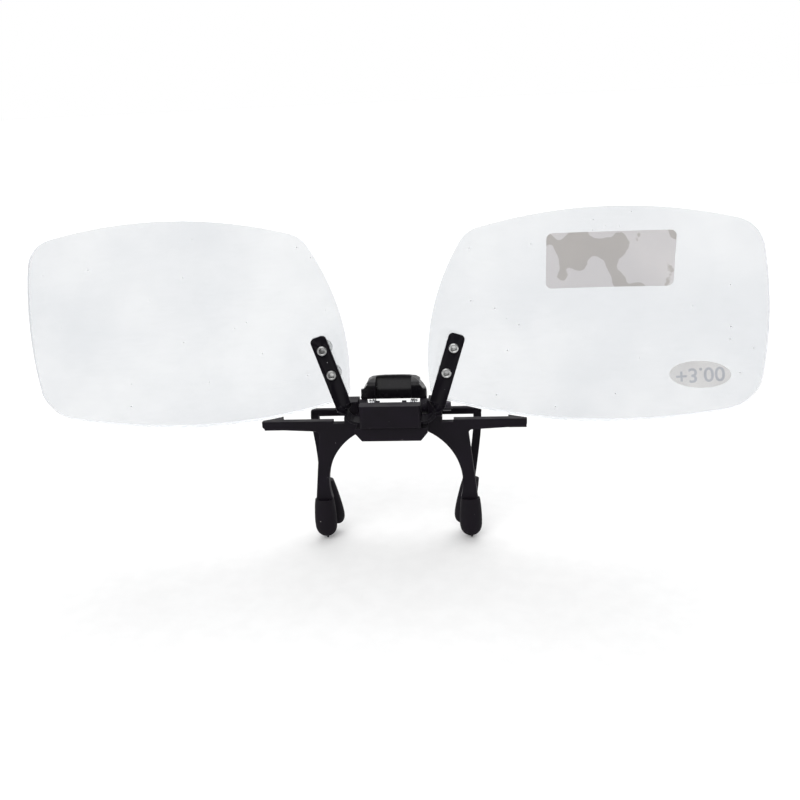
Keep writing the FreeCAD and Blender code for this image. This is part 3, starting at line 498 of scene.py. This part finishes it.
def rim_loop(node):
    """The lens outline on its far side, as an ordered ring of (x, z)."""
    work = bmesh.new()
    work.from_mesh(NODES[node].data)
    bmesh.ops.remove_doubles(work, verts=work.verts, dist=WELD)
    crisp = [e for e in work.edges if e.is_manifold and e.calc_face_angle() > RIM_TURN
             and max(f.normal.y for f in e.link_faces) > 0.7]
    ties = {}
    for edge in crisp:
        for a, b in (edge.verts, reversed(edge.verts)):
            ties.setdefault(a, []).append(b)
    loops = []
    seen = set()
    for start in ties:
        if start in seen:
            continue
        ring = []
        here = start
        while here is not None:
            seen.add(here)
            ring.append((here.co.x, here.co.z))
            here = next((v for v in ties[here] if v not in seen), None)
        loops.append(ring)
    longest = max(loops, key=len)
    work.free()
    return longest


def even_ring(ring, count):
    """The same closed ring with evenly spaced points."""
    points = [Vector(p) for p in ring]
    lengths = [(points[(i + 1) % len(points)] - points[i]).length for i in range(len(points))]
    total = sum(lengths)
    out = []
    i = 0
    gone = 0.0
    for step in range(count):
        want = total * step / count
        while gone + lengths[i] < want:
            gone += lengths[i]
            i += 1
        share = (want - gone) / lengths[i]
        out.append(points[i].lerp(points[(i + 1) % len(points)], share))
    return out


def build_lens(node, side, name):
    """A meniscus between two spheres, ground to the outline, with broken edges and two holes."""
    centre = Vector((side * LENS_CENTRE_X, LENS_CENTRE_Z))
    top_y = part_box(node)[1].y
    ring = even_ring(rim_loop(node), RIM_POINTS)

    def far(p):
        return top_y - FRONT_RADIUS + math.sqrt(FRONT_RADIUS ** 2 - (p - centre).length_squared)

    def near(p):
        return top_y - LENS_MID - EYE_RADIUS + math.sqrt(EYE_RADIUS ** 2 - (p - centre).length_squared)

    count = len(ring)
    inward = []
    for i in range(count):
        run = (ring[(i + 1) % count] - ring[i - 1]).normalized()
        normal = Vector((-run.y, run.x))
        inward.append(normal if normal.dot(centre - ring[i]) > 0 else -normal)
    inner = [p + n * RIM_BREAK for p, n in zip(ring, inward)]

    work = bmesh.new()

    def row(points, height):
        return [work.verts.new((p.x, height(p), p.y)) for p in points]

    shares = [i / LENS_ROWS for i in range(1, LENS_ROWS + 1)]
    far_rows = [row([centre.lerp(p, s) for p in inner], far) for s in shares]
    near_rows = [row([centre.lerp(p, s) for p in inner], near) for s in shares]
    rim_far = row(ring, lambda p: far(p) - RIM_BREAK)
    rim_near = row(ring, lambda p: near(p) + RIM_BREAK)
    far_top = work.verts.new((centre.x, far(centre), centre.y))
    near_top = work.verts.new((centre.x, near(centre), centre.y))

    def skin(a, b, index):
        for i in range(count):
            j = (i + 1) % count
            work.faces.new((a[i], a[j], b[j], b[i])).material_index = index

    for i in range(count):
        j = (i + 1) % count
        work.faces.new((far_top, far_rows[0][i], far_rows[0][j]))
        work.faces.new((near_top, near_rows[0][j], near_rows[0][i]))
    for rows in (far_rows, near_rows):
        for a, b in zip(rows, rows[1:]):
            skin(a, b, 0)
    for a, b in ((far_rows[-1], rim_far), (rim_far, rim_near), (rim_near, near_rows[-1])):
        skin(a, b, 1)
    mesh = mesh_of(work, name)

    drills = bmesh.new()
    bores = clusters(("left" if side < 0 else "right") + "_bushes")
    for x, z, low, high in bores:
        aim = Matrix.Translation((x, (low + high) / 2, z)) @ Matrix.Rotation(math.pi / 2, 4, "X")
        bmesh.ops.create_cone(drills, cap_ends=True, segments=ROUND_COUNT, radius1=BORE_RADIUS,
                              radius2=BORE_RADIUS, depth=DRILL_LENGTH, matrix=aim)
    drill = bpy.data.objects.new("drill", mesh_of(drills, "drill"))
    drill.data.materials.append(LENS_RIM)
    lens = bpy.data.objects.new("blank", mesh)
    mesh.materials.append(LENS_CLEAR)
    mesh.materials.append(LENS_RIM)
    for item in (drill, lens):
        bpy.context.scene.collection.objects.link(item)
    cutter = lens.modifiers.new("holes", "BOOLEAN")
    cutter.operation = "DIFFERENCE"
    cutter.solver = "EXACT"
    cutter.material_mode = "TRANSFER"
    cutter.object = drill
    now = bpy.context.evaluated_depsgraph_get()
    bored = bpy.data.meshes.new_from_object(lens.evaluated_get(now), preserve_all_data_layers=True,
                                            depsgraph=now)
    for item in (drill, lens):
        bpy.data.objects.remove(item)
    indices = [p.material_index for p in bored.polygons]
    names = [m.name if m else "" for m in bored.materials]
    rim_slots = {i for i, label in enumerate(names) if label == LENS_RIM.name}
    made = piece(name, bored, [LENS_CLEAR, LENS_RIM], "lens_frame", [node])
    for polygon, index in zip(bored.polygons, indices):
        polygon.material_index = 1 if index in rim_slots else 0
    return made


build_lens("right_lens", 1, "right_lens_polished")
build_lens("left_lens", -1, "left_lens_polished")


# ---- rivets, bushes and washers -----------------------------------------------------------------

RIVET_BORE = 0.0005
RIVET_SHANK = 0.00072
RIVET_RIM = 0.00103
RIVET_LIP = 0.0003
ROLL_FULLNESS = 0.98
ROLL_STEPS = 8


def build_rivets(side_name):
    """Two hollow rivets, rolled over at both ends, with painted shade down the bore: the bore takes the black
    pin finish.
    """
    node = side_name + "_rivets"
    middle = (RIVET_BORE + RIVET_RIM) / 2
    reach = (RIVET_RIM - RIVET_BORE) / 2
    turns = [math.pi * step / ROLL_STEPS for step in range(ROLL_STEPS + 1)]
    work = bmesh.new()
    for x, z, low, high in clusters(node):
        profile = [(RIVET_BORE, low + RIVET_LIP)]
        profile += [(middle - reach * math.cos(turn), low + RIVET_LIP * (1 - ROLL_FULLNESS * math.sin(turn)))
                    for turn in turns]
        profile += [(RIVET_SHANK, low + RIVET_LIP), (RIVET_SHANK, high - RIVET_LIP)]
        profile += [(middle + reach * math.cos(turn), high - RIVET_LIP * (1 - ROLL_FULLNESS * math.sin(turn)))
                    for turn in turns]
        profile.append((RIVET_BORE, high - RIVET_LIP))
        # Painted shade: the bore span gets the black pin finish so that the hole looks dark.
        bore_painted_shade = [0] * (len(profile) - 1) + [1]
        lathe(work, (x, z), profile, ROUND_COUNT, bore_painted_shade)
    bmesh.ops.remove_doubles(work, verts=work.verts, dist=1e-8)
    mesh = mesh_of(work, node)
    # The second slot, the black pin finish, is the painted shade in the bores.
    return piece(side_name + "_rivet_pair", mesh, [RIVET_SILVER, PIN_BLACK], "lens_frame",
                 [node], 60)


for side_name in ("left", "right"):
    build_rivets(side_name)
    softened(side_name + "_bushes", side_name + "_bush_pair", BUSH_MILKY, "lens_frame",
             BUSH_EDGE, 2)
    softened(side_name + "_washers", side_name + "_washer_pair", BUSH_MILKY, "lens_frame",
             WASHER_EDGE, 2)


# ---- jaw, block, yoke and lever -----------------------------------------------------------------

softened("front_jaw", "front_jaw_moulding", JAW_BLACK, "front_clip", MOULDED_EDGE)
softened("rear_jaw", "rear_jaw_moulding", JAW_BLACK, "rear_clip", MOULDED_EDGE)
softened("hinge_block", "hinge_block_moulding", JAW_BLACK, "front_clip", MOULDED_EDGE)
softened("lens_yoke", "lens_yoke_strip", YOKE_BLACK, "lens_frame", STRIP_EDGE, 2)
softened("thumb_lever", "thumb_lever_cap", LEVER_BLACK, "rear_clip", LEVER_EDGE, 4)
for end, body in (("front", "front_clip"), ("rear", "rear_clip")):
    for node in (end + "_left_sleeve", end + "_right_sleeve"):
        softened(node, node + "_soft", RUBBER_BLACK, body, RUBBER_EDGE)
for node in ("pivot_pin", "pin_cap"):
    softened(node, node + "_turned", PIN_BLACK, "front_clip", PIN_EDGE)
softened("detent_leaf", "detent_leaf_strip", SPRING_STEEL, "front_clip", LEAF_EDGE, 2)


# ---- torsion spring -----------------------------------------------------------------------------

WIRE_RADIUS = 0.0002
WIRE_SIDES = 14
END_TAPER = 0.55
COIL_START_X = 0.0037
COIL_PITCH = 0.00046
COIL_TURNS = 2.25
STEPS_PER_TURN = 24
LEG_END_GAP = 0.0001


def sweep(work, path, radius, count):
    """A round wire along a path of points, with ends that taper a little."""
    rings = []
    up = None
    for i, here in enumerate(path):
        before, after = path[max(i - 1, 0)], path[min(i + 1, len(path) - 1)]
        way = (after - before).normalized()
        if up is None:
            up = way.orthogonal().normalized()
        up = (up - way * up.dot(way)).normalized()
        side = way.cross(up)
        scale = END_TAPER if i in (0, len(path) - 1) else 1.0
        rings.append([work.verts.new(here + (up * math.cos(t) + side * math.sin(t)) * radius * scale)
                      for t in (2 * math.pi * k / count for k in range(count))])
    for a, b in zip(rings, rings[1:]):
        for k in range(count):
            work.faces.new((a[k], a[(k + 1) % count], b[(k + 1) % count], b[k]))
    work.faces.new(rings[0])
    work.faces.new(tuple(reversed(rings[-1])))


def eased(path, rounds):
    """Cuts the corners of a path, as a bending tool does."""
    for _ in range(rounds):
        out = [path[0]]
        for a, b in zip(path, path[1:]):
            out += [a.lerp(b, 0.25), a.lerp(b, 0.75)]
        path = out + [path[-1]]
    return path


def build_spring():
    """One wire: a leg, a coil, a bar across the front, a coil and a leg."""
    low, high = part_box("torsion_spring")
    pivot_z = (low.z + high.z) / 2
    coil = (high.z - low.z) / 2 - WIRE_RADIUS
    pivot_y = low.y + WIRE_RADIUS + coil
    steps = int(COIL_TURNS * STEPS_PER_TURN)
    half = []
    for i in range(steps + 1):
        turn = 2 * math.pi * COIL_TURNS * i / steps
        half.append(Vector((COIL_START_X + COIL_PITCH * COIL_TURNS * i / steps,
                            pivot_y - coil * math.cos(turn), pivot_z + coil * math.sin(turn))))
    half.append(Vector((high.x - LEG_END_GAP, pivot_y, pivot_z + coil)))
    mirrored = [Vector((-p.x, p.y, p.z)) for p in reversed(half)]
    work = bmesh.new()
    sweep(work, eased(mirrored + half, 2), WIRE_RADIUS, WIRE_SIDES)
    return piece("torsion_spring_wire", mesh_of(work, "wire"), [SPRING_STEEL], "front_clip",
                 ["torsion_spring"], 50)


build_spring()


# ---- labels -------------------------------------------------------------------------------------

NODES["blank_label"].data.materials[0] = LABEL_SILVER
NODES["power_label"].data.materials[0] = LABEL_OVAL


FIGURE_SIZE = 0.0041
FIGURE_SWELL = 0.00005
FIGURE_TILT = math.radians(5.0)
FIGURE_INSET = 0.000004
FIGURE_THICK = 0.00013


def build_number():
    """The lens power in plain figures. It reads the right way up once the lenses are flipped down."""
    low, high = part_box("power_label")
    text = bpy.data.curves.new("figures", "FONT")
    text.body = "+3.00"
    text.size = FIGURE_SIZE
    text.offset = FIGURE_SWELL
    text.align_x = "CENTER"
    text.align_y = "CENTER"
    text.resolution_u = 4
    carrier = bpy.data.objects.new("figures", text)
    flat = bpy.data.meshes.new_from_object(carrier)
    bpy.data.objects.remove(carrier)
    work = bmesh.new()
    work.from_mesh(flat)
    bmesh.ops.subdivide_edges(work, edges=work.edges, cuts=1)
    middle = (low + high) / 2
    top_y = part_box("right_lens")[1].y
    for vert in work.verts:
        across, up = vert.co.x, -vert.co.y
        x = middle.x + across * math.cos(FIGURE_TILT) - up * math.sin(FIGURE_TILT)
        z = middle.z + across * math.sin(FIGURE_TILT) + up * math.cos(FIGURE_TILT)
        across_sq = (x - LENS_CENTRE_X) ** 2
        fall = FRONT_RADIUS - math.sqrt(FRONT_RADIUS ** 2 - across_sq - (z - LENS_CENTRE_Z) ** 2)
        vert.co = (x, top_y - fall + FIGURE_INSET, z)
    thick = bmesh.ops.extrude_face_region(work, geom=list(work.faces))
    for vert in (v for v in thick["geom"] if isinstance(v, bmesh.types.BMVert)):
        vert.co.y += FIGURE_THICK
    return piece("power_number", mesh_of(work, "power_number"), [LABEL_INK], "lens_frame")


build_number()


# ---- floor, light and camera --------------------------------------------------------------------

FLOOR_RADII = (0.3, 1.0, 3.0, 6.0, 12.0)
FLOOR_POINTS = 96


def build_floor():
    """A broad round sheet of pale card, level with the object's lowest point."""
    low = cad_box[0]
    work = bmesh.new()
    rows = []
    for radius in FLOOR_RADII:
        rows.append([work.verts.new((radius * math.cos(2 * math.pi * k / FLOOR_POINTS),
                                     radius * math.sin(2 * math.pi * k / FLOOR_POINTS), low.z))
                     for k in range(FLOOR_POINTS)])
    work.faces.new(rows[0])
    for a, b in zip(rows, rows[1:]):
        for k in range(FLOOR_POINTS):
            j = (k + 1) % FLOOR_POINTS
            work.faces.new((a[k], b[k], b[j], a[j]))
    finish = Finish("floor_pale_card", Roughness=0.9)
    grain = finish.effect(MOULDED_GRAIN, Grain_per_metre=700.0)
    finish.feed("Base Color", finish.blend_colour(grain["Sheen"], (0.69, 0.69, 0.69), (0.71, 0.71, 0.71)))
    mesh = mesh_of(work, "floor")
    mesh.materials.append(finish.material)
    floor = bpy.data.objects.new("floor", mesh)
    bpy.context.scene.collection.objects.link(floor)


def build_world():
    """A white studio: the view and what shows through the lenses is plain white, and what lights the
    object is bright behind and above it and dimmer in front."""
    world = bpy.data.worlds.new("studio")
    bpy.context.scene.world = world
    world.use_nodes = True
    tree = world.node_tree
    ground = next(n for n in tree.nodes if n.type == "BACKGROUND")
    place = tree.nodes.new("ShaderNodeTexCoord").outputs["Generated"]
    axes = tree.nodes.new("ShaderNodeSeparateXYZ")
    tree.links.new(place, axes.inputs["Vector"])
    lift = maths(tree, "ADD", maths(tree, "MULTIPLY", axes.outputs["Y"], 0.8),
                 maths(tree, "MULTIPLY", axes.outputs["Z"], 0.6))
    glow = ranged(tree, lift, -0.3, 0.6, 0.1, 1.0)
    path = tree.nodes.new("ShaderNodeLightPath")
    seen = maths(tree, "MAXIMUM", path.outputs["Is Camera Ray"], path.outputs["Is Transmission Ray"])
    strength = maths(tree, "MAXIMUM", glow, seen)
    tree.links.new(strength, ground.inputs["Strength"])
    ground.inputs["Color"].default_value = (1.0, 1.0, 1.0, 1.0)


def soft_light(name, power, spread_deg, azimuth_deg, height_deg):
    """A very broad distant light: azimuth 0 is in front, 180 behind."""
    data = bpy.data.lights.new(name, "SUN")
    data.energy = power
    data.angle = math.radians(spread_deg)
    lamp = bpy.data.objects.new(name, data)
    bpy.context.scene.collection.objects.link(lamp)
    a, h = math.radians(azimuth_deg), math.radians(height_deg)
    toward = Vector((math.sin(a) * math.cos(h), -math.cos(a) * math.cos(h), math.sin(h)))
    lamp.rotation_euler = toward.to_track_quat("Z", "Y").to_euler()


CAMERA_PLACE = (0.01855, -0.18080, 0.08652)
CAMERA_LENS_MM = 41.2
SENSOR_MM = 36.0


def build_camera():
    """Just in front and a little above, turned and rolled by a few degrees."""
    yaw = math.radians(-5.394)
    pitch = math.radians(18.429)
    roll = math.radians(-2.693)
    ahead = Vector((math.sin(yaw) * math.cos(pitch), math.cos(yaw) * math.cos(pitch), -math.sin(pitch)))
    level = Vector((math.cos(yaw), -math.sin(yaw), 0))
    upward = level.cross(ahead)
    right = level * math.cos(roll) + upward * math.sin(roll)
    top = upward * math.cos(roll) - level * math.sin(roll)
    data = bpy.data.cameras.new("studio_camera")
    data.sensor_width = SENSOR_MM
    data.lens = CAMERA_LENS_MM
    data.clip_start = 0.01
    data.clip_end = 60.0
    camera = bpy.data.objects.new("studio_camera", data)
    bpy.context.scene.collection.objects.link(camera)
    turn = Matrix((right, top, -ahead)).transposed().to_4x4()
    camera.matrix_world = Matrix.Translation(CAMERA_PLACE) @ turn
    bpy.context.scene.camera = camera


build_floor()
build_world()
soft_light("overhead_softbox", 1.6, 60.0, 170.0, 62.0)
soft_light("front_fill", 2.0, 60.0, -20.0, 42.0)
build_camera()
bpy.context.scene.view_settings.view_transform = "Standard"
